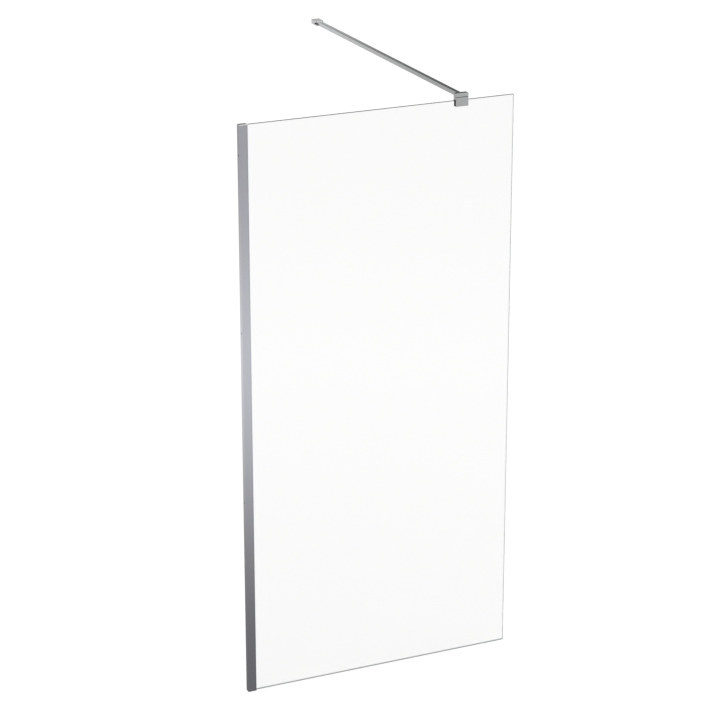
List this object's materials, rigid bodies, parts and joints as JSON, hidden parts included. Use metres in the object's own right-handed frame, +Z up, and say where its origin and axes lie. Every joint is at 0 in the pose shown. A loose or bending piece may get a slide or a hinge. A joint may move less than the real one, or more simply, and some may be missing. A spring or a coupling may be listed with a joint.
{
  "type": "walk-in shower screen",
  "caption": "Fixed clear glass shower screen in a width-adjustable wall profile, steadied by a square top bar with a sliding glass clamp and a swivelling wall bracket.",
  "frame": {"origin": "on the wall face of the wall channel, in the middle of the glass thickness, at floor level", "axes": "+X along the glass from the wall to its free edge, +Y square to the glass towards the wall that carries the bar, +Z up"},
  "size_m": [0.98, 1.226, 2.024],
  "materials": {
    "profile_metal": "bright polished and anodised extrusion",
    "cap_metal": "satin cap",
    "bright_chrome": "bright chrome plate",
    "screw_steel": "stainless steel",
    "cap_plastic": "silver moulded cap",
    "packer_plastic": "moulded packer",
    "washer_nylon": "natural nylon",
    "clear_seal": "translucent grey seal",
    "pad_rubber": "black rubber pad",
    "clear_glass": "clear toughened glass"
  },
  "bodies": {
    "wall_profile": {"wall_channel": "profile_metal", "top_cap": "cap_metal", "locking_screws": "screw_steel", "locking_screw_caps": "cap_plastic"},
    "screen": {"glass_channel": "profile_metal", "edge_packers": "packer_plastic", "front_glazing_seal": "clear_seal", "rear_glazing_seal": "clear_seal", "glass_pane": "clear_glass"},
    "clamp": {"clamp_body": "bright_chrome", "clamp_front_jaw": "bright_chrome", "front_jaw_pad": "pad_rubber", "rear_jaw_pad": "pad_rubber", "top_edge_pad": "pad_rubber", "jaw_screws": "screw_steel", "bar_set_screw": "screw_steel"},
    "bar": {"support_bar": "bright_chrome", "bar_end_tongue": "bright_chrome", "tongue_screw": "screw_steel"},
    "wall_bracket": {"bracket_fork": "bright_chrome", "pivot_screw": "screw_steel", "pivot_washers": "washer_nylon", "bracket_base": "screw_steel", "fork_set_screw": "screw_steel"}
  },
  "joints": [
    {"name": "width_adjust", "type": "slide", "parent": "wall_profile", "child": "screen", "axis": [1, 0, 0], "range_m": [0, 0.02]},
    {"name": "clamp_slide", "type": "slide", "parent": "screen", "child": "clamp", "axis": [1, 0, 0], "range_m": [-0.725, 0.168]},
    {"name": "bar_draw", "type": "slide", "parent": "clamp", "child": "bar", "axis": [0, 1, 0], "range_m": [0, 0.006]},
    {"name": "bracket_swivel", "type": "hinge", "parent": "bar", "child": "wall_bracket", "pos_m": [0.7865, 1.178, 2.01425], "axis": [0, 0, 1], "range_deg": [-90, 90]}
  ]
}
